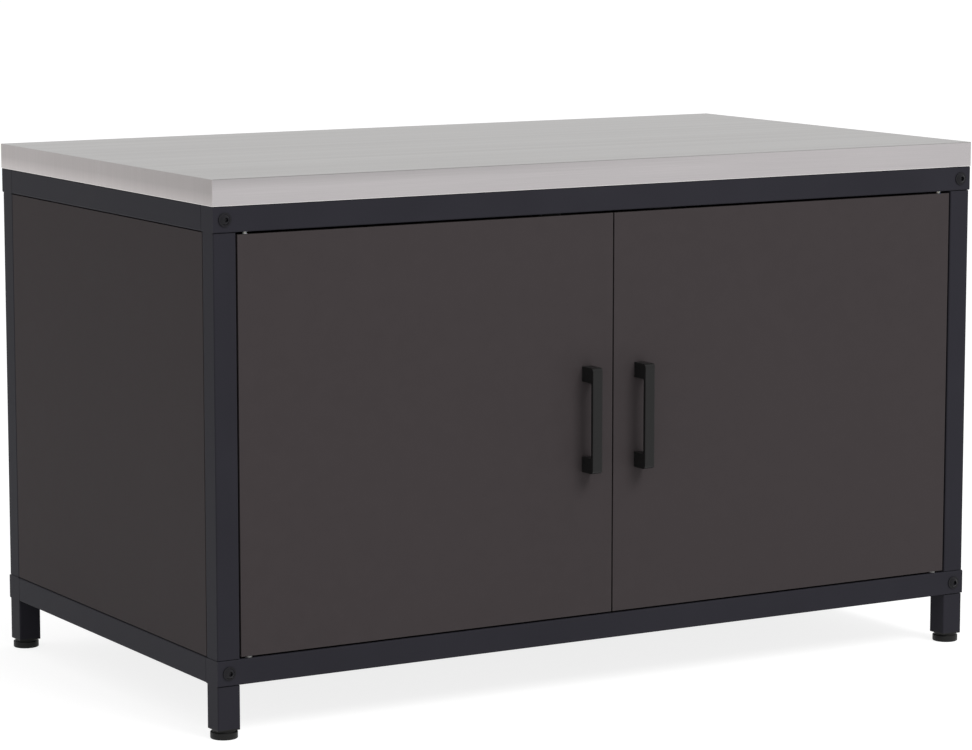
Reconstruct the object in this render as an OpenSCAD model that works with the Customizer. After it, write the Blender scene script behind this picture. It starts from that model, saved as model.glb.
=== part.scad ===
// Two-door kitchen storage cabinet. A bolted frame of square steel tube carries
// a folded steel worktop. Board panels close the sides, the back and the floor,
// and two inset doors turn on pivot pins in the top and bottom front rails.
// Millimetres. X runs along the width, the doors face -Y and Z points up.
// The origin is on the floor, under the middle of the bounding box.

/* [Frame] */
// Width of the frame, which is the length of the front and back rails
frame_w = 1500; // [1000:10:1900]
// Depth of the frame, from the face of the front rails to the face of the back rails
frame_d = 840; // [500:10:1000]
// Clear height between the bottom rails and the top rails
opening_h = 689.5; // [500:0.5:800]
// Outside size of the square rail tube
rail_size = 42; // [40:1:50]
// Wall of the rail tube
rail_wall = 2; // [1.5:0.5:3]
// Outside size of the square post and leg tube
post_size = 40; // [36:1:40]
// Wall of the post and leg tube
post_wall = 2; // [1.5:0.5:3]
// Width of the shadow gap where a post, a leg or a side rail meets another rail
joint_gap = 1; // [0.4:0.1:1.5]
// Depth of the shadow gap in the front and back faces of the posts and legs
joint_gap_in = 4; // [3:0.5:8]
// Depth of the root of each pad, inside the end of its tube
pad_root = 4; // [2:0.5:6]
// Radius of the outside edges of every square tube
tube_edge_r = 2.4; // [0.5:0.1:3]
// Thickness of the plates that close the ends of the front and back rails
end_cap_t = 2; // [1:0.5:4]
// Width of the flat tubes that cross the frame from front to back
cross_w = 40; // [30:1:60]
// Height of the flat tubes that cross the frame
cross_h = 20; // [15:1:22]
// Wall of the flat tubes that cross the frame
cross_wall = 2; // [1.5:0.5:3]

/* [Corner bolts] */
// Diameter of the bolt shank at each frame corner
bolt_d = 10; // [8:1:12]
// Diameter of the flange under the bolt head
bolt_flange_d = 22.5; // [20:0.5:26]
// Thickness of the flange under the bolt head
bolt_flange_t = 1.8; // [1:0.1:3]
// Diameter of the domed bolt head where it meets its flange
bolt_dome_d = 17.5; // [15:0.5:19]
// Height of the dome above its flange
bolt_dome_h = 3.8; // [3:0.1:5]
// Diameter of the flat on top of the dome
bolt_flat_d = 10; // [9.5:0.5:12]
// Width across the flats of the hexagon socket
bolt_socket_af = 7; // [5:0.5:8]
// Depth of the hexagon socket
bolt_socket_h = 3.6; // [2:0.1:5]
// Thickness of the threaded plate in each end of a side rail
end_plate_t = 6; // [4:0.5:10]
// Length of thread that passes the threaded plate
bolt_tail = 6; // [2:1:15]
// Space round the bolt shank in the rails
bolt_clear = 0.5; // [0.2:0.1:1]

/* [Legs and feet] */
// Length of each leg below the bottom rail, with the flange of its plug
leg_h = 73.5; // [40:0.5:120]
// Thickness of the plug flange under the leg tube
plug_flange_t = 2; // [1:0.5:4]
// Depth of the plug inside the leg tube
plug_depth = 24; // [18:1:35]
// Diameter of the levelling foot's pad
foot_d = 45; // [40:1:55]
// Height of the levelling foot's pad
foot_h = 11; // [8:0.5:16]
// Radius of the pad's upper and lower edges
foot_edge_r = 1.6; // [0.8:0.2:2.4]
// Diameter of the collar above the pad
collar_d = 38; // [30:1:39]
// Height of the collar above the pad
collar_h = 4; // [3:0.5:8]
// Diameter of the foot's threaded stud
stud_d = 10; // [8:1:12]
// Length of the stud above the collar
stud_l = 44; // [38:1:50]
// Radial clearance of the stud in its plug
stud_clear = 0.08; // [0.05:0.01:0.1]
// Space between a foot that is screwed right in and its plug
foot_stop_gap = 0.3; // [0.2:0.1:0.4]

/* [Worktop] */
// Thickness of the worktop
top_t = 43.5; // [30:0.5:60]
// Distance that the worktop passes the frame on every side
top_overhang = 1.2; // [0.4:0.2:20]
// Thickness of the folded steel sheet
skin_t = 1.2; // [0.8:0.1:2]
// Outside bend radius of the folded sheet
skin_bend_r = 1.4; // [1:0.2:2.4]
// Radius of the welded and ground corners of the sheet, seen from above
skin_corner_r = 1.8; // [1:0.2:2.4]
// Width of the lip that returns under the worktop
skin_lip = 30; // [15:1:38]

/* [Doors] */
// Thickness of the doors
door_t = 18; // [16:1:19]
// Distance of the door face behind the face of the posts
door_recess = 1; // [0.5:0.5:3]
// Gap over the doors
door_gap_top = 4; // [3:0.5:6]
// Gap under the doors
door_gap_bottom = 3; // [2.5:0.5:5]
// Gap between a door and its post
door_gap_side = 3; // [3:0.5:5]
// Gap between the two doors
door_gap_mid = 2.4; // [2:0.2:4]
// Thickness of the edging on the doors
edging_t = 1; // [0.5:0.5:2]
// Radius of the front and back edges of the edging
edging_r = 0.8; // [0.2:0.1:1]
// Distance from a door's outer edge to the axis of its pivot pins
pivot_inset = 17.5; // [14:0.5:18]

/* [Pivot pins] */
// Diameter of the upper pin's tip, which runs in the top rail
upper_pin_d = 6.5; // [5:0.5:8]
// Diameter of the lower pin's tip, which runs in its bush
lower_pin_d = 6; // [5:0.5:7]
// Diameter of the barrel of each pin, which sits in the door
pin_barrel_d = 10; // [9:0.5:12]
// Depth of the barrel of each pin in the door
pin_barrel_l = 35; // [20:1:50]
// Distance that each pin reaches past the wall of its rail
pin_reach = 6; // [3:1:12]
// Radial clearance of the pins where they turn
pin_clear = 0.06; // [0.03:0.01:0.1]
// Outside diameter of the lower bush in the bottom rail
bush_d = 9; // [8.5:0.5:11]
// Diameter of the lower bush's flange, which carries the door
bush_flange_d = 11.5; // [11.5:0.5:18]
// Space between the lower bush's flange and the door
bush_gap = 0.3; // [0.2:0.1:0.4]

/* [Handles] */
// Length of each bow handle
handle_l = 180; // [160:1:300]
// Width of the handle's flat bar
handle_w = 19; // [12:1:24]
// Thickness of the handle's flat bar
handle_bar_t = 6; // [4:0.5:9]
// Height of each handle foot where it meets the door
handle_foot_h = 26; // [14:1:30]
// Distance that the handle stands off the door face
handle_reach = 35; // [25:1:45]
// Radius of the handle's outer bends
handle_outer_r = 7; // [3:0.5:9]
// Radius of the handle's inner bends
handle_inner_r = 4; // [2:0.5:6]
// Radius of the long front edges of the bar
handle_edge_r = 1.2; // [0.5:0.1:2]
// Distance from the door's free edge to the middle of the handle
handle_inset = 51; // [35:1:90]
// Height of the middle of the handle above the door's lower edge
handle_rise = 336.5; // [180:0.5:400]
// Distance between the two handle screws
handle_holes = 160; // [140:1:280]
// Diameter of the handle screws
handle_screw_d = 4; // [3:0.5:5]
// Depth of the handle screws in the handle
handle_screw_in = 14; // [8:1:20]

/* [Magnetic catches] */
// Length of a magnetic catch along the rail
catch_l = 46; // [40:1:60]
// Height of a magnetic catch below the rail
catch_h = 14; // [10:1:20]
// Depth of a magnetic catch
catch_d = 16; // [10:1:18]
// Thickness of the steel strike plate on each door
strike_t = 1.5; // [1:0.5:3]
// Gap between a strike plate and its catch when the door is shut
catch_gap = 0.3; // [0.2:0.1:0.5]
// Distance from the gap between the doors to the middle of a catch
catch_inset = 110; // [80:5:200]
// Thickness of a catch's mounting flange
catch_flange_t = 3; // [2:0.5:4]
// Length of a catch's mounting flange beyond each end of its body
catch_ear_l = 9; // [8:0.5:12]
// Diameter of the screws of the catches
catch_screw_d = 3; // [2.5:0.5:3.5]
// Diameter of the catch screws' heads
catch_head_d = 6; // [5:0.5:7]
// Height of the catch screws' heads
catch_head_h = 2; // [1:0.5:3]
// Length of the catch screws below their heads
catch_screw_l = 8; // [6:1:12]

/* [Panels] */
// Thickness of the side and back panels
panel_t = 18; // [12:1:20]
// Distance of a panel's outer face behind the face of the posts
panel_recess = 0; // [0:0.5:2]
// Gap between a panel and the posts beside it
panel_gap = 0.8; // [0.5:0.1:2]
// Gap between a panel and the rails above and below it
panel_gap_v = 1.6; // [1:0.2:3]
// Thickness of the floor panel
floor_t = 18; // [16:1:20]
// Gap between the floor panel and the rails round it
floor_gap = 1; // [0.5:0.5:3]

/* [Shelf] */
// Height of the shelf's upper face above the floor panel
shelf_level = 345; // [250:5:400]
// Thickness of the shelf
shelf_t = 18; // [16:1:25]
// Gap between the shelf and the posts and panels round it
shelf_gap = 1.5; // [1:0.5:4]
// Space between the shelf's front edge and the sweep of the door's hinged edge
shelf_clear = 2; // [1:0.5:5]
// Depth of the tubes that carry the shelf
shelf_rail_d = 20; // [18:1:30]
// Height of the tubes that carry the shelf
shelf_rail_h = 30; // [20:1:40]
// Wall of the tubes that carry the shelf
shelf_rail_wall = 1.5; // [1:0.5:2.5]

/* [Angle brackets and screws] */
// Length of each leg of an angle bracket
bracket_leg = 20; // [16:1:20]
// Width of an angle bracket
bracket_w = 30; // [20:1:40]
// Thickness of an angle bracket
bracket_t = 2.5; // [2:0.5:4]
// Angle brackets along each of the front and back rails
bracket_count = 4; // [2:2:6]
// Distance from the end of a rail to its first bracket
bracket_end = 200; // [120:10:300]
// Distance from a rail to the brackets of the side and back panels
bracket_inset = 110; // [60:5:180]
// Diameter of the screws in the brackets
screw_d = 4; // [3:0.5:5]
// Diameter of the screw heads
screw_head_d = 8; // [7:0.5:9]
// Height of the screw heads
screw_head_h = 2.4; // [1.5:0.1:4]
// Length of the screws below their heads
screw_l = 14; // [10:1:14]

/* [Hidden] */
$fn = 48;
// Sides of a cylinder that makes a hexagon
hexagon = 6;
// Overlap that lets a cutting tool pass right through a face
cut = 1;

// Posts stand this far inside the faces of the rails
rail_proud = (rail_size - post_size) / 2;
bolt_head_h = bolt_flange_t + bolt_dome_h;
door_set = rail_proud + door_recess;
handle_out = handle_reach - door_set;

// Front and back faces of the frame, with the bounding box centred on the origin
back_out = max(top_overhang, bolt_head_h);
y_front = handle_out - (handle_out + frame_d + back_out) / 2;
y_back = y_front + frame_d;
y_mid = (y_front + y_back) / 2;

// Levels of the frame, from the floor up
z_leg = foot_h + collar_h;
z_low = z_leg + leg_h;
z_open = z_low + rail_size;
z_top = z_open + opening_h;
z_work = z_top + rail_size;
z_floor = z_open;

// Middle lines of the corner tubes
corner_x = (frame_w - rail_size) / 2;
front_line = y_front + rail_size / 2;
back_line = y_back - rail_size / 2;
post_x = corner_x - post_size / 2;
post_front_back = front_line + post_size / 2;
post_back_front = back_line - post_size / 2;
side_rail_l = frame_d - 2 * rail_size;
cross_l = side_rail_l;

// Doors
door_y = y_front + door_set;
door_back = door_y + door_t;
door_x_out = post_x - door_gap_side;
door_x_in = door_gap_mid / 2;
door_w = door_x_out - door_x_in;
door_z = z_open + door_gap_bottom;
door_h = opening_h - door_gap_top - door_gap_bottom;
pivot_x = door_x_out - pivot_inset;
pivot_y = door_y + door_t / 2;
handle_x = door_x_in + handle_inset;
handle_z = door_z + handle_rise;
bush_flange_t = door_gap_bottom - bush_gap;

// Panels
panel_x = corner_x + post_size / 2 - panel_recess - panel_t;
panel_y = back_line + post_size / 2 - panel_recess - panel_t;

// The shelf stays behind the sweep of the door's hinged corner
door_sweep = sqrt(pow(pivot_inset, 2) + pow(door_t / 2, 2));
shelf_y = pivot_y + door_sweep + shelf_clear;
shelf_top = z_floor + shelf_level;
shelf_rail_z = shelf_top - shelf_t - shelf_rail_h;
shelf_back = panel_y - shelf_gap;

// Places of the angle brackets
bracket_step = bracket_count > 1 ? (frame_w - 2 * bracket_end) / (bracket_count - 1) : 0;
bracket_xs = [for (i = [0 : bracket_count - 1]) -frame_w / 2 + bracket_end + i * bracket_step];
bracket_zs = [z_open + bracket_inset, z_top - bracket_inset];
top_bracket_xs = [-frame_w / 2 + bracket_end, frame_w / 2 - bracket_end];
screw_off = (bracket_leg + bracket_t) / 2;

frame_grey = [0.19, 0.19, 0.21];
board_grey = [0.26, 0.24, 0.24];
edging_grey = [0.24, 0.225, 0.225];
steel_grey = [0.73, 0.73, 0.72];
core_tan = [0.72, 0.60, 0.44];
handle_black = [0.13, 0.13, 0.13];
plastic_black = [0.11, 0.11, 0.11];
nylon_white = [0.93, 0.93, 0.91];
acetal_grey = [0.62, 0.62, 0.60];
zinc_grey = [0.62, 0.63, 0.65];

// A square with rounded corners, centred on the origin
module rounded_rect(w, h, r) {
    square([w - 2 * r, h], center = true);
    square([w, h - 2 * r], center = true);
    for (sx = [-1, 1], sy = [-1, 1]) {
        translate([sx * (w / 2 - r), sy * (h / 2 - r)]) circle(r = r);
    }
}

// A rectangular tube that stands on the XY plane
module tube(w, h, wall, length) {
    difference() {
        linear_extrude(length) rounded_rect(w, h, tube_edge_r);
        translate([-w / 2 + wall, -h / 2 + wall, -cut]) cube([w - 2 * wall, h - 2 * wall, length + 2 * cut]);
    }
}

// Turns what stands along Z to run along X or along Y
module along_x() {
    rotate([0, 90, 0]) children();
}

module along_y() {
    rotate([-90, 0, 0]) children();
}

// Places children at a copy for the left side and one for the right side
module both_sides() {
    for (side = [-1, 1]) translate([side * corner_x, 0, 0]) children();
}

module at_corners(z) {
    for (side = [-1, 1], y = [front_line, back_line]) translate([side * corner_x, y, z]) children();
}

// Holes for the corner bolts in a front or back rail
module bolt_holes(y, z) {
    both_sides() translate([0, y - rail_size / 2 - cut, z]) {
        along_y() cylinder(d = bolt_d + 2 * bolt_clear, h = rail_size + 2 * cut);
    }
}

// A full-width rail whose middle line runs through y and z
module long_rail(y, z) {
    difference() {
        translate([-frame_w / 2, y, z]) along_x() tube(rail_size, rail_size, rail_wall, frame_w);
        bolt_holes(y, z);
    }
}

z_top_line = z_top + rail_size / 2;
z_low_line = z_low + rail_size / 2;

module front_top_rail() {
    color(frame_grey) difference() {
        long_rail(front_line, z_top_line);
        for (side = [-1, 1]) translate([side * pivot_x, pivot_y, z_top - cut]) {
            cylinder(d = upper_pin_d + 2 * pin_clear, h = rail_wall + 2 * cut);
        }
        for (side = [-1, 1], end = [-1, 1]) translate(catch_screw_place(side, end)) {
            translate([0, 0, -cut]) cylinder(d = catch_screw_d, h = rail_wall + 2 * cut);
        }
    }
}

module front_bottom_rail() {
    color(frame_grey) difference() {
        long_rail(front_line, z_low_line);
        for (side = [-1, 1]) translate([side * pivot_x, pivot_y, z_open - rail_wall - cut]) {
            cylinder(d = bush_d, h = rail_wall + 2 * cut);
        }
    }
}

module back_top_rail() {
    color(frame_grey) long_rail(back_line, z_top_line);
}

module back_bottom_rail() {
    color(frame_grey) long_rail(back_line, z_low_line);
}

// A rail between the front and back rails, with a shadow gap at each end
module side_rail(side, z) {
    color(frame_grey) translate([side * corner_x, y_front + rail_size + joint_gap, z]) {
        along_y() tube(rail_size, rail_size, rail_wall, side_rail_l - 2 * joint_gap);
    }
}

module left_top_side_rail() {
    side_rail(-1, z_top_line);
}

module left_bottom_side_rail() {
    side_rail(-1, z_low_line);
}

module right_top_side_rail() {
    side_rail(1, z_top_line);
}

module right_bottom_side_rail() {
    side_rail(1, z_low_line);
}

// What closes the end of a tube that meets a rail: a pad as thick as the shadow gap, and its root in the tube
module end_pad() {
    bore = post_size - 2 * post_wall;
    pad_d = post_size - 2 * joint_gap_in;
    translate([-post_size / 2, -pad_d / 2, 0]) cube([post_size, pad_d, joint_gap]);
    translate([-bore / 2, -bore / 2, joint_gap]) cube([bore, bore, pad_root]);
}

module post(side, y) {
    color(frame_grey) translate([side * corner_x, y, z_open]) {
        translate([0, 0, joint_gap]) tube(post_size, post_size, post_wall, opening_h - 2 * joint_gap);
        end_pad();
        translate([0, 0, opening_h]) mirror([0, 0, 1]) end_pad();
    }
}

module front_left_post() {
    post(-1, front_line);
}

module front_right_post() {
    post(1, front_line);
}

module back_left_post() {
    post(-1, back_line);
}

module back_right_post() {
    post(1, back_line);
}

module leg(side, y) {
    tube_l = leg_h - plug_flange_t;
    color(frame_grey) translate([side * corner_x, y, z_leg + plug_flange_t]) {
        tube(post_size, post_size, post_wall, tube_l - joint_gap);
        translate([0, 0, tube_l]) mirror([0, 0, 1]) end_pad();
    }
}

module front_left_leg() {
    leg(-1, front_line);
}

module front_right_leg() {
    leg(1, front_line);
}

module back_left_leg() {
    leg(-1, back_line);
}

module back_right_leg() {
    leg(1, back_line);
}

// A flat tube across the middle of the frame, with its upper face at z
module cross_bar(z) {
    color(frame_grey) translate([0, y_front + rail_size, z - cross_h / 2]) {
        along_y() tube(cross_w, cross_h, cross_wall, cross_l);
    }
}

module top_cross_bar() {
    cross_bar(z_work);
}

module bottom_cross_bar() {
    cross_bar(z_floor - floor_t);
}

module rail_end_caps() {
    bore = rail_size - 2 * rail_wall;
    color(frame_grey) for (side = [-1, 1], y = [front_line, back_line], z = [z_top_line, z_low_line]) {
        translate([side * (frame_w - end_cap_t) / 2, y, z]) cube([end_cap_t, bore, bore], center = true);
    }
}

module side_rail_end_plates() {
    bore = rail_size - 2 * rail_wall;
    color(zinc_grey) for (z = [z_top_line, z_low_line], end = [-1, 1]) both_sides() {
        translate([0, y_mid + end * (side_rail_l - end_plate_t) / 2, z]) difference() {
            cube([bore, end_plate_t, bore], center = true);
            translate([0, -end_plate_t / 2 - cut, 0]) along_y() cylinder(d = bolt_d, h = end_plate_t + 2 * cut);
        }
    }
}

// A flanged button-head bolt that stands on the XY plane with its shank downwards
module button_bolt(shank) {
    rise = pow(bolt_head_h, 2) - pow(bolt_flange_t, 2);
    dome_z = (pow(bolt_flat_d / 2, 2) - pow(bolt_dome_d / 2, 2) + rise) / (2 * bolt_dome_h);
    dome_r = sqrt(pow(bolt_dome_d / 2, 2) + pow(bolt_flange_t - dome_z, 2));
    difference() {
        union() {
            translate([0, 0, -shank]) cylinder(d = bolt_d, h = shank + cut);
            cylinder(d = bolt_flange_d, h = bolt_flange_t);
            intersection() {
                translate([0, 0, dome_z]) sphere(r = dome_r, $fn = 96);
                translate([0, 0, bolt_flange_t / 2]) cylinder(d = bolt_flange_d, h = bolt_head_h - bolt_flange_t / 2);
            }
        }
        translate([0, 0, bolt_head_h - bolt_socket_h]) {
            cylinder(d = bolt_socket_af / cos(180 / hexagon), h = bolt_socket_h + cut, $fn = hexagon);
        }
    }
}

module corner_bolts() {
    shank = rail_size + end_plate_t + bolt_tail;
    color(handle_black) for (z = [z_top_line, z_low_line]) both_sides() {
        translate([0, y_front, z]) rotate([90, 0, 0]) button_bolt(shank);
        translate([0, y_back, z]) rotate([-90, 0, 0]) button_bolt(shank);
    }
}

module leg_plugs() {
    bore = post_size - 2 * post_wall;
    color(plastic_black) at_corners(z_leg) difference() {
        union() {
            linear_extrude(plug_flange_t) rounded_rect(post_size, post_size, tube_edge_r);
            translate([-bore / 2, -bore / 2, 0]) cube([bore, bore, plug_flange_t + plug_depth]);
        }
        translate([0, 0, -cut]) cylinder(d = stud_d + 2 * stud_clear, h = plug_flange_t + plug_depth + 2 * cut);
    }
}

// A levelling foot: a pad with round edges, a collar and a stud
module foot(side, y) {
    r = foot_d / 2;
    e = foot_edge_r;
    collar_top = foot_h + collar_h - foot_stop_gap;
    color(plastic_black) translate([side * corner_x, y, 0]) rotate_extrude() {
        square([r - e, foot_h]);
        translate([0, e]) square([r, foot_h - 2 * e]);
        translate([r - e, e]) circle(r = e);
        translate([r - e, foot_h - e]) circle(r = e);
        square([collar_d / 2, collar_top]);
        square([stud_d / 2, foot_h + collar_h + stud_l]);
    }
}

module front_left_foot() {
    foot(-1, front_line);
}

module front_right_foot() {
    foot(1, front_line);
}

module back_left_foot() {
    foot(-1, back_line);
}

module back_right_foot() {
    foot(1, back_line);
}

top_w = frame_w + 2 * top_overhang;
top_d = frame_d + 2 * top_overhang;

// The folded sheet is what three rounded profiles have in common, less its hollow
module worktop_skin() {
    color(steel_grey) translate([0, y_mid, z_work]) difference() {
        intersection() {
            linear_extrude(top_t) rounded_rect(top_w, top_d, skin_corner_r);
            translate([-top_w / 2, 0, top_t / 2]) along_x() {
                linear_extrude(top_w) rounded_rect(top_t, top_d, skin_bend_r);
            }
            translate([0, -top_d / 2, top_t / 2]) along_y() {
                linear_extrude(top_d) rounded_rect(top_w, top_t, skin_bend_r);
            }
        }
        worktop_hollow();
        lip_opening(2 * skin_t);
    }
}

// Space inside the folded sheet
module worktop_hollow() {
    translate([0, 0, top_t / 2]) cube([top_w - 2 * skin_t, top_d - 2 * skin_t, top_t - 2 * skin_t], center = true);
}

// Space between the return lips, from the underside of the worktop up
module lip_opening(height) {
    w = top_w - 2 * skin_lip;
    d = top_d - 2 * skin_lip;
    translate([-w / 2, -d / 2, -cut]) cube([w, d, height + cut]);
}

module worktop_core() {
    w = top_w - 2 * skin_lip;
    d = top_d - 2 * skin_lip;
    color(core_tan) difference() {
        translate([0, y_mid, z_work]) union() {
            worktop_hollow();
            translate([-w / 2, -d / 2, 0]) cube([w, d, top_t / 2]);
        }
        worktop_bracket_places() screw_hole();
    }
}

// An angle bracket: one leg on the face x = 0, the other below the face z = 0
module angle_bracket() {
    difference() {
        translate([0, -bracket_w / 2, -bracket_leg]) cube([bracket_leg, bracket_w, bracket_leg]);
        translate([bracket_t, -bracket_w / 2 - cut, -bracket_leg - cut]) {
            cube([bracket_leg, bracket_w + 2 * cut, bracket_leg - bracket_t + cut]);
        }
        translate([screw_off, 0, -bracket_leg]) cylinder(d = screw_d, h = bracket_leg + cut);
    }
}

// The screw of an angle bracket, driven upwards into what rests on the bracket
module bracket_screw() {
    translate([screw_off, 0, -bracket_t - screw_head_h]) cylinder(d = screw_head_d, h = screw_head_h);
    translate([screw_off, 0, -bracket_t]) cylinder(d = screw_d, h = screw_l);
}

// The hole that a bracket screw needs in the piece it holds
module screw_hole() {
    translate([screw_off, 0, -cut]) cylinder(d = screw_d, h = screw_l - bracket_t + cut);
}

// Places on the inner faces of the front and back rails, for what lies at height z
module rail_bracket_places(z) {
    for (x = bracket_xs) {
        translate([x, y_front + rail_size, z]) rotate([0, 0, 90]) children();
        translate([x, y_back - rail_size, z]) rotate([0, 0, -90]) children();
    }
}

module worktop_bracket_places() {
    rail_bracket_places(z_work) children();
}

module floor_bracket_places() {
    rail_bracket_places(z_floor - floor_t) children();
}

// Places on the posts for a side panel
module side_bracket_places(side) {
    for (z = bracket_zs) {
        translate([side * panel_x, post_front_back, z]) rotate([0, 0, 90]) rotate([side * 90, 0, 0]) children();
        translate([side * panel_x, post_back_front, z]) rotate([0, 0, -90]) rotate([-side * 90, 0, 0]) children();
    }
}

// Places on the back posts and under the back top rail for the back panel
module back_bracket_places() {
    for (side = [-1, 1], z = bracket_zs) {
        translate([side * post_x, panel_y, z]) rotate([0, 0, side > 0 ? 180 : 0]) {
            rotate([side * 90, 0, 0]) children();
        }
    }
    for (x = top_bracket_xs) translate([x, panel_y, z_top]) rotate([0, 90, 0]) rotate([-90, 0, 0]) children();
}

module worktop_brackets() {
    color(zinc_grey) worktop_bracket_places() angle_bracket();
}

module floor_brackets() {
    color(zinc_grey) floor_bracket_places() angle_bracket();
}

module panel_brackets() {
    color(zinc_grey) {
        for (side = [-1, 1]) side_bracket_places(side) angle_bracket();
        back_bracket_places() angle_bracket();
    }
}

module worktop_screws() {
    color(zinc_grey) worktop_bracket_places() bracket_screw();
}

module floor_screws() {
    color(zinc_grey) floor_bracket_places() bracket_screw();
}

module panel_screws() {
    color(zinc_grey) {
        for (side = [-1, 1]) side_bracket_places(side) bracket_screw();
        back_bracket_places() bracket_screw();
    }
}

// A panel between the posts of one side
module side_panel(side) {
    w = post_back_front - post_front_back - 2 * panel_gap;
    h = opening_h - 2 * panel_gap_v;
    color(board_grey) difference() {
        translate([side > 0 ? panel_x : -panel_x - panel_t, post_front_back + panel_gap, z_open + panel_gap_v]) {
            cube([panel_t, w, h]);
        }
        side_bracket_places(side) screw_hole();
    }
}

module left_side_panel() {
    side_panel(-1);
}

module right_side_panel() {
    side_panel(1);
}

module back_panel() {
    w = 2 * (post_x - panel_gap);
    h = opening_h - 2 * panel_gap_v;
    color(board_grey) difference() {
        translate([-w / 2, panel_y, z_open + panel_gap_v]) cube([w, panel_t, h]);
        back_bracket_places() screw_hole();
    }
}

module floor_panel() {
    w = frame_w - 2 * rail_size - 2 * floor_gap;
    d = side_rail_l - 2 * floor_gap;
    color(board_grey) difference() {
        translate([-w / 2, y_mid - d / 2, z_floor - floor_t]) cube([w, d, floor_t]);
        floor_bracket_places() screw_hole();
    }
}

// The shelf reaches the side panels, with a notch round each post
module shelf() {
    w = 2 * (panel_x - shelf_gap);
    notch_x = post_x - shelf_gap;
    notch_front = post_front_back + shelf_gap;
    notch_back = post_back_front - shelf_gap;
    color(board_grey) translate([0, 0, shelf_top - shelf_t]) linear_extrude(shelf_t) difference() {
        translate([-w / 2, shelf_y]) square([w, shelf_back - shelf_y]);
        for (side = [-1, 1]) {
            translate([side > 0 ? notch_x : -notch_x - w, y_front]) square([w, notch_front - y_front]);
            translate([side > 0 ? notch_x : -notch_x - w, notch_back]) square([w, frame_d]);
        }
    }
}

// A tube between two posts with its front face at y
module shelf_rail(y) {
    color(frame_grey) translate([-post_x, y + shelf_rail_d / 2, shelf_rail_z + shelf_rail_h / 2]) {
        along_x() tube(shelf_rail_h, shelf_rail_d, shelf_rail_wall, 2 * post_x);
    }
}

module front_shelf_rail() {
    shelf_rail(shelf_y);
}

module back_shelf_rail() {
    shelf_rail(shelf_back - shelf_rail_d);
}

module lower_pivot_bushes() {
    color(acetal_grey) for (side = [-1, 1]) translate([side * pivot_x, pivot_y, z_open]) difference() {
        union() {
            cylinder(d = bush_flange_d, h = bush_flange_t);
            translate([0, 0, -rail_wall - pin_reach / 2]) cylinder(d = bush_d, h = rail_wall + pin_reach / 2 + cut);
        }
        translate([0, 0, -rail_wall - pin_reach]) {
            cylinder(d = lower_pin_d + 2 * pin_clear, h = rail_wall + pin_reach + bush_flange_t + cut);
        }
    }
}

// Middle of the upper face of a catch, against the underside of the top rail
function catch_place(side) = [side * catch_inset, door_back + strike_t + catch_gap + catch_d / 2, z_top];
function catch_screw_place(side, end) = catch_place(side) + [end * (catch_l - catch_ear_l) / 2, 0, 0];

module magnetic_catches() {
    body_l = catch_l - 2 * catch_ear_l;
    color(plastic_black) for (side = [-1, 1]) difference() {
        translate(catch_place(side)) union() {
            translate([-body_l / 2, -catch_d / 2, -catch_h]) cube([body_l, catch_d, catch_h]);
            translate([-catch_l / 2, -catch_d / 2, -catch_flange_t]) cube([catch_l, catch_d, catch_flange_t]);
        }
        for (end = [-1, 1]) translate(catch_screw_place(side, end)) {
            translate([0, 0, -catch_flange_t - cut]) cylinder(d = catch_screw_d, h = catch_flange_t + 2 * cut);
        }
    }
}

module catch_screws() {
    color(zinc_grey) for (side = [-1, 1], end = [-1, 1]) translate(catch_screw_place(side, end)) {
        translate([0, 0, -catch_flange_t]) cylinder(d = catch_screw_d, h = catch_screw_l);
        translate([0, 0, -catch_flange_t - catch_head_h]) cylinder(d = catch_head_d, h = catch_head_h);
    }
}

// The board of a door, inside its edging
module door(side) {
    w = door_w - 2 * edging_t;
    h = door_h - 2 * edging_t;
    mid_x = side * (door_x_in + door_x_out) / 2;
    color(board_grey) difference() {
        translate([mid_x - w / 2, door_y, door_z + edging_t]) cube([w, door_t, h]);
        pin_bores(side);
        handle_screw_axes(side) translate([0, 0, -cut]) cylinder(d = handle_screw_d, h = door_t + 2 * cut);
    }
}

// Bores for the barrels of a door's two pivot pins
module pin_bores(side) {
    translate([side * pivot_x, pivot_y, door_z - cut]) cylinder(d = pin_barrel_d, h = pin_barrel_l + cut);
    translate([side * pivot_x, pivot_y, door_z + door_h - pin_barrel_l]) {
        cylinder(d = pin_barrel_d, h = pin_barrel_l + cut);
    }
}

// Axes of a handle's screws, from the front face of the door backwards
module handle_screw_axes(side) {
    for (end = [-1, 1]) translate([side * handle_x, door_y, handle_z + end * handle_holes / 2]) {
        along_y() children();
    }
}

module left_door() {
    door(-1);
}

module right_door() {
    door(1);
}

// The band round the four edges of a door, with rounded edges at the front and the back
module door_edging(side) {
    mid_x = side * (door_x_in + door_x_out) / 2;
    color(edging_grey) difference() {
        translate([mid_x, pivot_y, door_z + door_h / 2]) intersection() {
            translate([0, 0, -door_h / 2]) linear_extrude(door_h) rounded_rect(door_w, door_t, edging_r);
            translate([-door_w / 2, 0, 0]) along_x() linear_extrude(door_w) rounded_rect(door_h, door_t, edging_r);
        }
        translate([mid_x - door_w / 2 + edging_t, door_y - cut, door_z + edging_t]) {
            cube([door_w - 2 * edging_t, door_t + 2 * cut, door_h - 2 * edging_t]);
        }
        pin_bores(side);
    }
}

module left_door_edging() {
    door_edging(-1);
}

module right_door_edging() {
    door_edging(1);
}

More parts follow.
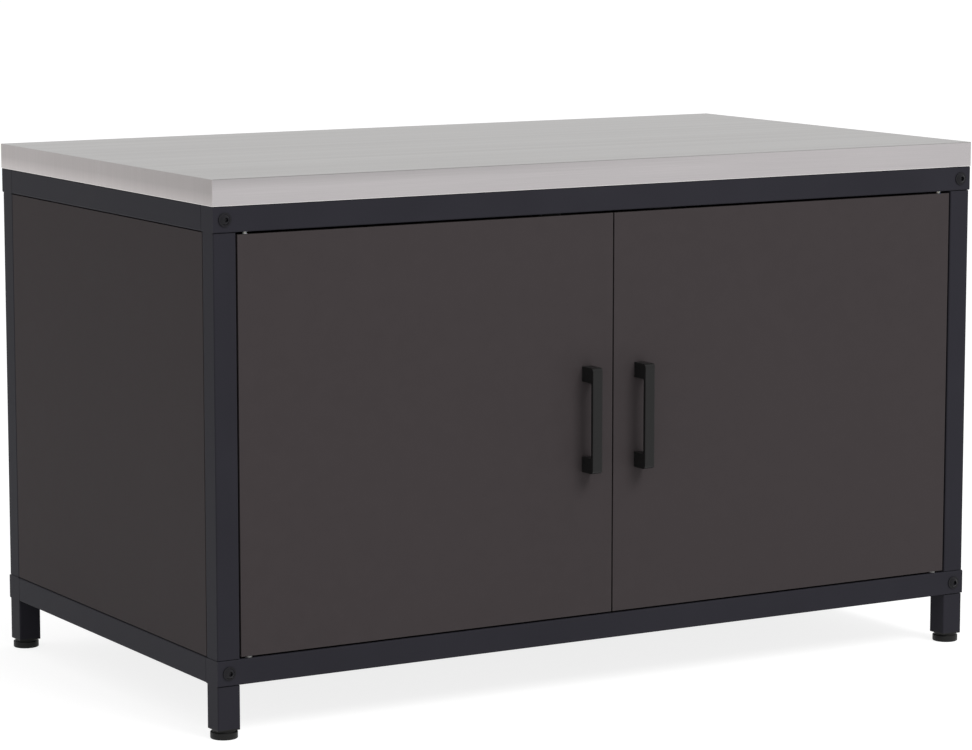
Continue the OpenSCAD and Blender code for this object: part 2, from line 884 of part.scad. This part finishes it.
// A bow handle: its side profile and its plan profile have the handle in common
module handle(side) {
    gap_h = handle_l - 2 * handle_foot_h;
    gap_d = handle_reach - handle_bar_t;
    color(handle_black) translate([side * handle_x, door_y, handle_z]) difference() {
        intersection() {
            translate([-handle_w / 2, 0, 0]) along_x() linear_extrude(handle_w) {
                difference() {
                    handle_outline(handle_l, handle_reach, handle_outer_r);
                    translate([0, cut]) handle_outline(gap_h, gap_d + cut, handle_inner_r);
                }
            }
            translate([0, 0, -handle_l / 2 - cut]) linear_extrude(handle_l + 2 * cut) {
                translate([0, -handle_reach / 2]) rounded_rect(handle_w, handle_reach, handle_edge_r);
                translate([-handle_w / 2, -handle_reach / 2]) square([handle_w, handle_reach / 2]);
            }
        }
        for (end = [-1, 1]) translate([0, -handle_screw_in, end * handle_holes / 2]) {
            along_y() cylinder(d = handle_screw_d, h = handle_screw_in + cut);
        }
    }
}

// A rectangle that reaches down from the X axis, with its two lower corners rounded
module handle_outline(l, d, r) {
    translate([-l / 2, -d + r]) square([l, d - r]);
    translate([-l / 2 + r, -d]) square([l - 2 * r, r]);
    for (end = [-1, 1]) translate([end * (l / 2 - r), -d + r]) circle(r = r);
}

module left_handle() {
    handle(-1);
}

module right_handle() {
    handle(1);
}

module handle_screws(side) {
    color(zinc_grey) handle_screw_axes(side) {
        translate([0, 0, -handle_screw_in]) cylinder(d = handle_screw_d, h = handle_screw_in + door_t + cut);
        translate([0, 0, door_t]) cylinder(d = 2 * handle_screw_d, h = handle_screw_d / 2);
    }
}

module left_handle_screws() {
    handle_screws(-1);
}

module right_handle_screws() {
    handle_screws(1);
}

// The upper pin: a barrel in the door and a tip that runs in the wall of the top rail
module upper_pivot_pin(side) {
    tip_l = door_gap_top + rail_wall + pin_reach;
    color(nylon_white) translate([side * pivot_x, pivot_y, door_z + door_h]) {
        translate([0, 0, -pin_barrel_l]) cylinder(d = pin_barrel_d, h = pin_barrel_l);
        translate([0, 0, -cut]) cylinder(d = upper_pin_d, h = tip_l + cut);
    }
}

// The lower pin: a barrel in the door and a tip that runs in the lower bush
module lower_pivot_pin(side) {
    tip_l = door_gap_bottom + rail_wall + pin_reach;
    color(zinc_grey) translate([side * pivot_x, pivot_y, door_z]) {
        cylinder(d = pin_barrel_d, h = pin_barrel_l);
        translate([0, 0, -tip_l]) cylinder(d = lower_pin_d, h = tip_l + cut);
    }
}

module left_upper_pivot_pin() {
    upper_pivot_pin(-1);
}

module right_upper_pivot_pin() {
    upper_pivot_pin(1);
}

module left_lower_pivot_pin() {
    lower_pivot_pin(-1);
}

module right_lower_pivot_pin() {
    lower_pivot_pin(1);
}

// The steel plate on the inner face of a door that its catch pulls on
module strike_plate(side) {
    place = catch_place(side);
    color(zinc_grey) translate([place[0] - catch_l / 2, door_back, door_z + door_h - edging_t - catch_h]) {
        cube([catch_l, strike_t, catch_h]);
    }
}

module left_strike_plate() {
    strike_plate(-1);
}

module right_strike_plate() {
    strike_plate(1);
}

worktop_skin();
worktop_core();
front_top_rail();
front_bottom_rail();
back_top_rail();
back_bottom_rail();
left_top_side_rail();
left_bottom_side_rail();
right_top_side_rail();
right_bottom_side_rail();
front_left_post();
front_right_post();
back_left_post();
back_right_post();
front_left_leg();
front_right_leg();
back_left_leg();
back_right_leg();
top_cross_bar();
bottom_cross_bar();
rail_end_caps();
side_rail_end_plates();
corner_bolts();
leg_plugs();
front_left_foot();
front_right_foot();
back_left_foot();
back_right_foot();
left_side_panel();
right_side_panel();
back_panel();
floor_panel();
shelf();
front_shelf_rail();
back_shelf_rail();
worktop_brackets();
floor_brackets();
panel_brackets();
worktop_screws();
floor_screws();
panel_screws();
lower_pivot_bushes();
magnetic_catches();
catch_screws();
left_door();
left_door_edging();
left_handle();
left_handle_screws();
left_upper_pivot_pin();
left_lower_pivot_pin();
left_strike_plate();
right_door();
right_door_edging();
right_handle();
right_handle_screws();
right_upper_pivot_pin();
right_lower_pivot_pin();
right_strike_plate();
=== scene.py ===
"""Looks of the two-door kitchen storage cabinet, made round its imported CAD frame."""

import math

import bpy
import bmesh
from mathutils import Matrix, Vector


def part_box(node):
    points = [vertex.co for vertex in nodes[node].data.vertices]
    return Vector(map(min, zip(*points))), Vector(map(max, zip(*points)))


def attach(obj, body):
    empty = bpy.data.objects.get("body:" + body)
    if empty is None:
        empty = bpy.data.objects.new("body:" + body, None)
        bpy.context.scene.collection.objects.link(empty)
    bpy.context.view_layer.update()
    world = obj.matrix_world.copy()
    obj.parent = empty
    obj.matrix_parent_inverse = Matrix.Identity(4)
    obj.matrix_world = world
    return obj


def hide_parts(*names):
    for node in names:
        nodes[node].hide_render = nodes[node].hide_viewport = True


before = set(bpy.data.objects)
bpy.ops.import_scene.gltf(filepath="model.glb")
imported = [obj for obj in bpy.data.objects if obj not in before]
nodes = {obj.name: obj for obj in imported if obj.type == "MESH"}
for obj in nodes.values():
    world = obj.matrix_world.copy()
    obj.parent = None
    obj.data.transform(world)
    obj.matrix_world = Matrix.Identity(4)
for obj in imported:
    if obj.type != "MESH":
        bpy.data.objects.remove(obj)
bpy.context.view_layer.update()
scene = bpy.context.scene
scene.view_settings.view_transform = "Standard"


# Camera, fitted to the cabinet's corners in the photograph

SENSOR_WIDTH = 36
FOCAL_LENGTH = 134.72
CAMERA_PLACE = (-3.2757, -5.5369, 1.4094)
DEGREES_DOWN = 8.125
DEGREES_RIGHT = 30.525

camera_data = bpy.data.cameras.new("camera")
camera_data.sensor_width = SENSOR_WIDTH
camera_data.lens = FOCAL_LENGTH
camera = bpy.data.objects.new("camera", camera_data)
camera.location = CAMERA_PLACE
camera.rotation_euler = (math.radians(90 - DEGREES_DOWN), 0, math.radians(-DEGREES_RIGHT))
scene.collection.objects.link(camera)
scene.camera = camera


# Helpers for node trees

# Most values of a noise texture lie between these
NOISE_LOW = 0.3
NOISE_HIGH = 0.7


class Tree:
    """A node tree with short calls for the nodes that the materials share."""

    def __init__(self, tree):
        self.tree = tree
        tree.nodes.clear()

    def add(self, kind, inputs=None, **settings):
        """A new node. Its inputs are numbers and colours, or the outputs that they are linked to."""
        node = self.tree.nodes.new("ShaderNode" + kind)
        for key, value in settings.items():
            setattr(node, key, value)
        for key, value in (inputs or {}).items():
            self.put(node.inputs[key], value)
        return node

    def put(self, socket, value):
        if isinstance(value, bpy.types.NodeSocket):
            self.tree.links.new(value, socket)
        else:
            socket.default_value = value

    def math(self, operation, a, b):
        return self.add("Math", {0: a, 1: b}, operation=operation).outputs[0]

    def split(self, vector):
        """The X, Y and Z of a vector."""
        return self.add("SeparateXYZ", {0: vector}).outputs

    def place(self, scale=(1, 1, 1)):
        """Object coordinates in metres, stretched by scale."""
        coords = self.add("TexCoord").outputs["Object"]
        return self.add("Mapping", {"Vector": coords, "Scale": scale}).outputs[0]

    def noise(self, vector, scale, detail=2.0, roughness=0.5):
        inputs = {"Vector": vector, "Scale": scale, "Detail": detail, "Roughness": roughness}
        return self.add("TexNoise", inputs).outputs["Fac"]

    def remap(self, value, low, high, to_low, to_high):
        """What lies between low and high, stretched to lie between to_low and to_high, and no further."""
        ends = {"From Min": low, "From Max": high, "To Min": to_low, "To Max": to_high}
        return self.add("MapRange", {"Value": value, **ends}).outputs[0]

    def spread(self, noise, low, high):
        """A noise, stretched to reach from low to high."""
        return self.remap(noise, NOISE_LOW, NOISE_HIGH, low, high)

    def mix(self, factor, a, b, blend="MIX"):
        node = self.add("Mix", data_type="RGBA", blend_type=blend)
        self.put(node.inputs[0], factor)
        self.put(node.inputs[6], a)
        self.put(node.inputs[7], b)
        return node.outputs[2]

    def vary(self, noise, base, dark, light):
        """The base colour, shaded by a noise between the factors dark and light."""
        return self.mix(self.spread(noise, 0.0, 1.0), shade(base, dark), shade(base, light))

    def bump(self, height, distance, strength):
        inputs = {"Height": height, "Distance": distance, "Strength": strength}
        return self.add("Bump", inputs).outputs[0]

    def edge(self, radius):
        """1 on outer edges and corners that a bevel of this radius would round, 0 on flat faces."""
        bevel = self.add("Bevel", {"Radius": radius}, samples=6).outputs[0]
        flat = self.add("NewGeometry").outputs["Normal"]
        agree = self.add("VectorMath", {0: bevel, 1: flat}, operation="DOT_PRODUCT").outputs["Value"]
        return self.remap(self.math("SUBTRACT", 1.0, agree), 0.02, 0.25, 0.0, 1.0)


def rgb(r, g, b):
    return (r, g, b, 1.0)


def shade(colour, factor):
    return tuple(c * factor for c in colour[:3]) + (1.0,)


def material(name, **constants):
    """A Principled material whose constants sit on the shader's own sockets."""
    made = bpy.data.materials.new(name)
    made.use_nodes = True
    tree = Tree(made.node_tree)
    shader = tree.add("BsdfPrincipled")
    out = tree.add("OutputMaterial", {"Surface": shader.outputs[0]})
    out.is_active_output = True
    for key, value in constants.items():
        shader.inputs[key.replace("_", " ")].default_value = value
    return made, tree, shader


# Materials. The scale of a noise is in cycles a metre, and a bump's distance is in metres

STEEL = rgb(0.441, 0.432, 0.426)
BRUSH_ACROSS = 420.0
BRUSH_ALONG = 1.6
SMEAR_ACROSS = 34.0
SMEAR_ALONG = 0.5
# Painted reflections: how much lighter or darker each part of the worktop is painted than the plain sheet,
# with painted shade on the upper bends, a painted highlight on the lower rim, and the painted reflection
# tints of its upright faces
TOP_REFLECTION_TONE = 0.975
LONG_LEFT_REFLECTION_TONE = 0.88
LONG_RIGHT_REFLECTION_TONE = 1.06
LONG_LOWER_REFLECTION_TONE = 1.05
END_FRONT_REFLECTION_TONE = 0.855
END_BACK_REFLECTION_TONE = 1.017
END_RIM_REFLECTION_TONE = 1.34
UPPER_BEND_SHADE = 0.93
LOWER_BEND_HIGHLIGHT = 1.8
LONG_REFLECTION_TINT = rgb(1.008, 0.98, 1.007)
END_REFLECTION_TINT = rgb(1.005, 0.96, 0.965)


def worktop_faces(t):
    """Masks of the folded sheet: 1 on the end flaps, upright faces, long upper bends and lower bends."""
    normal = t.add("NewGeometry").outputs["Normal"]
    lean = t.split(normal)[2]
    facing = t.split(t.add("VectorMath", {0: normal}, operation="ABSOLUTE").outputs[0])
    flap = t.math("GREATER_THAN", facing[0], 0.7)
    upright = t.remap(facing[2], 0.7, 0.3, 0.0, 1.0)
    # The normals of a bend lean between those of the two flat faces beside it
    off_flap = t.remap(facing[1], 0.998, 0.95, 0.0, 1.0)
    off_top = t.remap(facing[1], 0.1, 0.35, 0.0, 1.0)
    long_bend = t.math("MULTIPLY", off_flap, off_top)
    upper_bend = t.math("MULTIPLY", long_bend, t.math("GREATER_THAN", lean, 0.03))
    below_edge = t.remap(lean, -0.1, -0.4, 0.0, 1.0)
    above_lip = t.remap(lean, -0.98, -0.9, 0.0, 1.0)
    lower_bend = t.math("MULTIPLY", below_edge, above_lip)
    return flap, upright, upper_bend, lower_bend


def worktop_reflection_tones(t, flap, upright):
    """Painted reflections: how much lighter or darker each flat face is painted, and how light the top of a
    long edge is painted along its length.
    """
    low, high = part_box("worktop_skin")
    height = high.z - low.z
    spot = t.split(t.place())
    # Painted reflections: the long edges are painted lighter to the right and downwards
    upper_reflection_tone = t.remap(spot[0], -0.4, 0.35, LONG_LEFT_REFLECTION_TONE, LONG_RIGHT_REFLECTION_TONE)
    long_reflection_tone = t.remap(spot[2], low.z + 0.58 * height, low.z + 0.92 * height, LONG_LOWER_REFLECTION_TONE, upper_reflection_tone)
    # Painted reflections: the ends are painted lighter towards the back and towards their lower rim
    end_reflection_tone = t.remap(spot[1], low.y, high.y, END_FRONT_REFLECTION_TONE, END_BACK_REFLECTION_TONE)
    end_rim_reflection = t.remap(spot[2], low.z, low.z + 0.5 * height, END_RIM_REFLECTION_TONE, 1.0)
    flat_reflection_tone = t.remap(upright, 0.0, 1.0, TOP_REFLECTION_TONE, long_reflection_tone)
    return t.mix(flap, flat_reflection_tone, t.math("MULTIPLY", end_reflection_tone, end_rim_reflection)), upper_reflection_tone


def worktop_steel():
    """Brushed and folded sheet steel: brush lines, painted reflections on its faces, painted shade along
    the upper bends and a painted highlight on the lower rim.
    """
    made, t, shader = material("look_worktop_steel", Metallic=1.0, Anisotropic=0.55,
                               Specular_Tint=rgb(0.85, 0.85, 0.85))
    flap, upright, upper_bend, lower_bend = worktop_faces(t)
    # Brush lines and wider smears run along X, and down the flaps at the two ends
    brush = t.mix(flap, t.place((BRUSH_ALONG, BRUSH_ACROSS, BRUSH_ACROSS)),
                  t.place((BRUSH_ACROSS, BRUSH_ACROSS, BRUSH_ALONG)))
    smear = t.mix(flap, t.place((SMEAR_ALONG, SMEAR_ACROSS, SMEAR_ACROSS)),
                  t.place((SMEAR_ACROSS, SMEAR_ACROSS, SMEAR_ALONG)))
    fine = t.noise(brush, 2.6, detail=3.0, roughness=0.65)
    wide = t.noise(smear, 1.0, detail=2.0)
    cloud = t.noise(t.place(), 2.4, detail=3.0)
    colour = t.vary(fine, STEEL, 0.92, 1.08)
    colour = t.mix(t.spread(wide, 0.0, 0.2), colour, shade(STEEL, 1.06))
    colour = t.mix(t.remap(cloud, 0.35, 0.7, 0.0, 0.3), colour, shade(STEEL, 0.93))
    # Painted reflections: the faces are painted lighter or darker, and the upright faces get painted
    # reflection tints
    tone, upper_reflection_tone = worktop_reflection_tones(t, flap, upright)
    colour = t.mix(1.0, colour, tone, blend="MULTIPLY")
    colour = t.mix(upright, colour, t.mix(flap, LONG_REFLECTION_TINT, END_REFLECTION_TINT), blend="MULTIPLY")
    # Painted shade darkens the long upper bends, following the painted reflections of the long edges, and a
    # painted highlight lightens the lower rim
    upper_bend_shade = t.mix(1.0, shade(STEEL, UPPER_BEND_SHADE), upper_reflection_tone, blend="MULTIPLY")
    colour = t.mix(upper_bend, colour, upper_bend_shade)
    colour = t.mix(lower_bend, colour, shade(STEEL, LOWER_BEND_HIGHLIGHT))
    t.put(shader.inputs["Base Color"], colour)
    satin = t.remap(t.math("ADD", fine, wide), 0.6, 1.4, 0.27, 0.4)
    t.put(shader.inputs["Roughness"], t.math("ADD", satin, t.math("MULTIPLY", upper_bend, 0.3)))
    t.put(shader.inputs["Normal"], t.bump(fine, 0.00006, 0.5))
    # The reflection spreads across the brush lines
    across_flap = t.add("CombineXYZ", {1: 0.7, 2: 0.7}).outputs[0]
    across_top = t.add("CombineXYZ", {1: 1.0}).outputs[0]
    t.put(shader.inputs["Tangent"], t.mix(flap, across_flap, across_top))
    return made


def coated(name, base, worn, grain, rough, specular, wear_radius=0.0012, wear=0.5):
    """Powder-coated or painted metal: fine orange peel, slightly uneven gloss, edges rubbed a little."""
    made, t, shader = material(name, Specular_IOR_Level=specular)
    peel = t.noise(t.place(), grain, detail=2.0, roughness=0.55)
    fleck = t.noise(t.place(), grain * 2.7, detail=1.0)
    cloud = t.noise(t.place(), 5.0, detail=3.0)
    colour = t.vary(cloud, base, 0.93, 1.07)
    colour = t.mix(t.remap(fleck, 0.62, 0.78, 0.0, 0.35), colour, shade(base, 1.6))
    patches = t.remap(t.noise(t.place(), 60.0, detail=4.0), 0.4, 0.68, 0.1, wear)
    colour = t.mix(t.math("MULTIPLY", t.edge(wear_radius), patches), colour, worn)
    t.put(shader.inputs["Base Color"], colour)
    uneven = t.math("ADD", t.spread(peel, -0.04, 0.04), t.spread(cloud, -0.03, 0.03))
    t.put(shader.inputs["Roughness"], t.math("ADD", uneven, rough))
    t.put(shader.inputs["Normal"], t.bump(peel, 0.00012, 0.35))
    return made


def melamine(name, base, specular, rough):
    """Plain dark decor paper under melamine: faint mottling, a fine pearl texture and a painted highlight
    along its edges.
    """
    made, t, shader = material(name, Specular_IOR_Level=specular)
    pearl = t.noise(t.place(), 1400.0, detail=2.0, roughness=0.6)
    mottle = t.noise(t.place(), 38.0, detail=4.0, roughness=0.6)
    cloud = t.noise(t.place(), 2.2, detail=2.0)
    colour = t.vary(mottle, base, 0.965, 1.035)
    colour = t.mix(t.spread(cloud, 0.0, 0.5), colour, shade(base, 1.04))
    # Painted highlight: the outer edges and corners are painted lighter
    colour = t.mix(t.math("MULTIPLY", t.edge(0.001), 0.5), colour, shade(base, 1.7))
    t.put(shader.inputs["Base Color"], colour)
    texture = t.math("ADD", pearl, mottle)
    t.put(shader.inputs["Roughness"], t.remap(texture, 0.7, 1.3, rough - 0.05, rough + 0.05))
    t.put(shader.inputs["Normal"], t.bump(pearl, 0.00005, 0.3))
    return made


def moulded(name, base, rough, specular, scatter=0.0):
    """Moulded plastic with a fine eroded grain, scuffed at its edges."""
    made, t, shader = material(name, Specular_IOR_Level=specular)
    if scatter:
        shader.inputs["Subsurface Weight"].default_value = scatter
        shader.inputs["Subsurface Scale"].default_value = 0.001
    pits = t.noise(t.place(), 700.0, detail=3.0, roughness=0.6)
    cloud = t.noise(t.place(), 30.0, detail=2.0)
    colour = t.vary(cloud, base, 0.92, 1.08)
    patches = t.remap(t.noise(t.place(), 220.0, detail=3.0), 0.35, 0.7, 0.1, 0.5)
    scuff = shade(base, 1.6) if base[0] < 0.5 else shade(base, 1.05)
    colour = t.mix(t.math("MULTIPLY", t.edge(0.001), patches), colour, scuff)
    t.put(shader.inputs["Base Color"], colour)
    t.put(shader.inputs["Roughness"], t.spread(pits, rough - 0.07, rough + 0.07))
    t.put(shader.inputs["Normal"], t.bump(pits, 0.00015, 0.35))
    return made


def plated(name, base, rough):
    """Zinc-plated steel: bluish bright patches and fine drawing lines."""
    made, t, shader = material(name, Metallic=1.0)
    crystal = t.add("TexVoronoi", {"Vector": t.place(), "Scale": 420.0}).outputs["Color"]
    patch = t.add("SeparateColor", {0: crystal}).outputs[0]
    smear = t.noise(t.place((1.0, 1.0, 6.0)), 90.0, detail=4.0, roughness=0.6)
    colour = t.mix(patch, shade(base, 0.86), shade(base, 1.12))
    bluish = rgb(base[0] * 0.92, base[1] * 0.96, base[2] * 1.04)
    colour = t.mix(t.remap(smear, 0.4, 0.7, 0.0, 0.5), colour, bluish)
    t.put(shader.inputs["Base Color"], colour)
    uneven = t.math("ADD", patch, smear)
    t.put(shader.inputs["Roughness"], t.remap(uneven, 0.4, 1.5, rough - 0.08, rough + 0.1))
    t.put(shader.inputs["Normal"], t.bump(smear, 0.00008, 0.3))
    return made


def particle_board():
    """The worktop's core: pressed chips in several browns."""
    made, t, shader = material("look_core_board", Roughness=0.8)
    chips = t.add("TexVoronoi", {"Vector": t.place((1.0, 1.0, 2.2)), "Scale": 300.0})
    tone = t.add("SeparateColor", {0: chips.outputs["Color"]}).outputs[0]
    fibre = t.noise(t.place((1.0, 1.0, 3.0)), 650.0, detail=3.0)
    colour = t.mix(tone, rgb(0.30, 0.19, 0.10), rgb(0.56, 0.41, 0.25))
    colour = t.mix(t.remap(fibre, 0.35, 0.7, 0.0, 0.5), colour, rgb(0.22, 0.13, 0.07))
    t.put(shader.inputs["Base Color"], colour)
    t.put(shader.inputs["Normal"], t.bump(t.math("ADD", tone, fibre), 0.0003, 0.5))
    return made


looks = {
    "worktop_steel": worktop_steel(),
    "core_board": particle_board(),
    "frame_coat": coated("look_frame_coat", rgb(0.0240, 0.0233, 0.0294), rgb(0.048, 0.047, 0.053),
                         grain=900.0, rough=0.45, specular=0.04),
    "board": melamine("look_board", rgb(0.0466, 0.0397, 0.0411), specular=0.045, rough=0.6),
    "edging": melamine("look_edging", rgb(0.042, 0.036, 0.037), specular=0.07, rough=0.5),
    "zinc": plated("look_zinc", rgb(0.52, 0.53, 0.55), rough=0.34),
    "dull_zinc": plated("look_gap_shade_zinc", rgb(0.075, 0.076, 0.08), rough=0.5),
    "bolt_black": coated("look_bolt_black", rgb(0.0085, 0.0082, 0.0104), rgb(0.026, 0.026, 0.028),
                         grain=1500.0, rough=0.21, specular=0.16, wear_radius=0.0005, wear=0.35),
    "handle_black": coated("look_handle_black", rgb(0.0115, 0.0115, 0.0115), rgb(0.04, 0.04, 0.04),
                           grain=1300.0, rough=0.32, specular=0.17, wear_radius=0.0008, wear=0.3),
    "foot_plastic": moulded("look_foot_plastic", rgb(0.0122, 0.0122, 0.0118), rough=0.5, specular=0.15),
    "nylon": moulded("look_nylon", rgb(0.93, 0.93, 0.91), rough=0.42, specular=0.4, scatter=0.1),
    "acetal": moulded("look_acetal", rgb(0.48, 0.48, 0.47), rough=0.45, specular=0.3),
}

# Each CAD node's material slots are named like the looks
for node in nodes.values():
    for slot in node.material_slots:
        slot.material = looks[slot.material.name.split(".")[0]]

# The catches' screws, which show in the gap over the doors, get a near-black zinc as painted shade in that
# gap
for slot in nodes["catch_screws"].material_slots:
    slot.material = looks["dull_zinc"]


# Levelling feet in two pieces: a moulded pad with its collar, and a zinc-plated stud with a cut thread

FEET = ("front_left_foot", "front_right_foot", "back_left_foot", "back_right_foot")
PAD_SIDES = 64
PAD_H = 0.011
PAD_LOW_R = 0.0016
PAD_TOP_R = 0.0008
BEND_STEPS = 4
COLLAR_R = 0.019
COLLAR_TOP = 0.0147
STUD_SIDES = 32
STUD_R = 0.005
STUD_LOW = 0.0125
PITCH = 0.0015
THREAD_DEPTH = 0.00092
# Corners of the thread's outline in one turn: part of the pitch, and how far out from its root
THREAD = ((0.0, 0.0), (0.2, 0.0), (0.52, 1.0), (0.68, 1.0))
# Edges sharper than this stay sharp in smooth shading, in degrees
SHARP_EDGE = 28


def ring(shape, axis, radius, height, sides, climb=0.0):
    """Adds one turn of points round an upright axis, which rises by climb in the whole turn."""
    points = []
    for step in range(sides):
        turn = step / sides
        angle = 2 * math.pi * turn
        x = axis.x + radius * math.cos(angle)
        y = axis.y + radius * math.sin(angle)
        points.append(shape.verts.new((x, y, height + climb * turn)))
    return points


def pad_shape(axis, radius):
    """The pad with its two rounded edges, and the collar on it."""
    outline = []
    for bend, middle, start in ((PAD_LOW_R, PAD_LOW_R, -90), (PAD_TOP_R, PAD_H - PAD_TOP_R, 0)):
        for step in range(BEND_STEPS + 1):
            angle = math.radians(start + 90 / BEND_STEPS * step)
            outline.append((radius - bend * (1 - math.cos(angle)), middle + bend * math.sin(angle)))
    outline += [(COLLAR_R, PAD_H), (COLLAR_R, COLLAR_TOP)]
    shape = bmesh.new()
    rings = [ring(shape, axis, r, height, PAD_SIDES) for r, height in outline]
    for below, above in zip(rings, rings[1:]):
        for i in range(PAD_SIDES):
            j = (i + 1) % PAD_SIDES
            shape.faces.new((below[i], below[j], above[j], above[i]))
    shape.faces.new(rings[0])
    shape.faces.new(rings[-1])
    return shape


def stud_shape(axis, top):
    """A right-hand screw thread from inside the collar to top. Its rows climb one pitch in a turn."""
    jump = len(THREAD)
    shape = bmesh.new()
    rows = []
    for turn in range(int((top - STUD_LOW) / PITCH) - 1):
        for part, out in THREAD:
            radius = STUD_R - THREAD_DEPTH * (1 - out)
            height = STUD_LOW + PITCH * (turn + part)
            rows.append(ring(shape, axis, radius, height, STUD_SIDES, climb=PITCH))
    for k in range(len(rows) - 1):
        below, above = rows[k], rows[k + 1]
        for i in range(STUD_SIDES - 1):
            shape.faces.new((below[i], below[i + 1], above[i + 1], above[i]))
        # The end of a row meets the start of the same row one turn on
        if k + 1 + jump < len(rows):
            shape.faces.new((below[-1], rows[k + jump][0], rows[k + 1 + jump][0], above[-1]))
    foot_end = rows[0] + [row[0] for row in reversed(rows[1:jump + 1])]
    head_end = rows[-1] + [row[-1] for row in reversed(rows[-1 - jump:-1])]
    for loop, height in ((foot_end, STUD_LOW), (head_end, rows[-1][0].co.z)):
        middle = shape.verts.new((axis.x, axis.y, height))
        for a, b in zip(loop, loop[1:] + loop[:1]):
            shape.faces.new((a, b, middle))
    return shape


def foot_piece(name, shape, body, slot_name):
    """Makes a piece of the shape, which rides on body and has the look of the material slot."""
    bmesh.ops.recalc_face_normals(shape, faces=shape.faces)
    mesh = bpy.data.meshes.new(name)
    shape.to_mesh(mesh)
    shape.free()
    mesh.shade_smooth()
    mesh.set_sharp_from_angle(angle=math.radians(SHARP_EDGE))
    mesh.materials.append(looks[slot_name])
    piece = bpy.data.objects.new(name, mesh)
    scene.collection.objects.link(piece)
    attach(piece, body)
    return piece


for name in FEET:
    low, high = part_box(name)
    axis = (low + high) / 2
    pad = foot_piece(name + "_pad", pad_shape(axis, (high.x - low.x) / 2), name, "foot_plastic")
    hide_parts(name)
    foot_piece(name + "_stud", stud_shape(axis, high.z), name, "zinc")


# Floor and surroundings: white to the eye and in reflections, plain pale light for the rest

WHITE = rgb(1, 1, 1)
FLOOR_HALF_SIZE = 30
FLOOR_SQUARES = 8
FLOOR_GREY = rgb(0.32, 0.32, 0.32)
FLOOR_GLOW = 0.83
WORLD_LIGHT = 0.66


def seen(t):
    """1 for rays of the camera, a mirror or glass, 0 for the rays that only carry light."""
    rays = t.add("LightPath").outputs
    mirrored = t.math("MAXIMUM", rays["Is Glossy Ray"], rays["Is Transmission Ray"])
    return t.math("MAXIMUM", rays["Is Camera Ray"], mirrored)


def make_floor():
    """The floor: pale to the light, and nearly white with a soft shadow to the eye."""
    mesh = bpy.data.meshes.new("floor")
    shape = bmesh.new()
    bmesh.ops.create_grid(shape, x_segments=FLOOR_SQUARES, y_segments=FLOOR_SQUARES,
                          size=FLOOR_HALF_SIZE)
    shape.to_mesh(mesh)
    shape.free()
    floor = bpy.data.objects.new("floor", mesh)
    scene.collection.objects.link(floor)
    paint = bpy.data.materials.new("look_floor")
    paint.use_nodes = True
    t = Tree(paint.node_tree)
    unevenness = t.noise(t.place(), 12.0, detail=3.0)
    pale = t.mix(unevenness, rgb(0.77, 0.77, 0.77), rgb(0.79, 0.79, 0.79))
    plain = t.add("BsdfDiffuse", {"Color": pale})
    shadowed = t.add("BsdfDiffuse", {"Color": FLOOR_GREY})
    glow = t.add("Emission", {"Color": WHITE, "Strength": FLOOR_GLOW})
    white = t.add("AddShader", {0: shadowed.outputs[0], 1: glow.outputs[0]})
    both = t.add("MixShader", {0: seen(t), 1: plain.outputs[0], 2: white.outputs[0]})
    t.add("OutputMaterial", {"Surface": both.outputs[0]})
    mesh.materials.append(paint)


def make_world():
    """White surroundings that light the object more softly than they look."""
    world = bpy.data.worlds.new("studio")
    scene.world = world
    world.use_nodes = True
    t = Tree(world.node_tree)
    light = t.add("Background", {"Color": WHITE, "Strength": WORLD_LIGHT})
    white = t.add("Background", {"Color": WHITE, "Strength": 1.0})
    both = t.add("MixShader", {0: seen(t), 1: light.outputs[0], 2: white.outputs[0]})
    t.add("OutputWorld", {"Surface": both.outputs[0]})


def lamp(name, place, target, size, watts):
    """A square soft box at place that faces target. Nothing mirrors it, so metal is even from all sides."""
    data = bpy.data.lights.new(name, "AREA")
    data.shape = "SQUARE"
    data.size = size
    data.energy = watts
    made = bpy.data.objects.new(name, data)
    made.location = place
    made.rotation_euler = (Vector(target) - Vector(place)).to_track_quat("-Z", "Y").to_euler()
    made.visible_glossy = False
    scene.collection.objects.link(made)


make_floor()
make_world()
lamp("key", place=(2.6, -9.8, 10.2), target=(0, -0.3, 0.45), size=5.5, watts=1030)
lamp("top", place=(4.0, -1.5, 9.0), target=(0, 0, 0.5), size=3.0, watts=70)
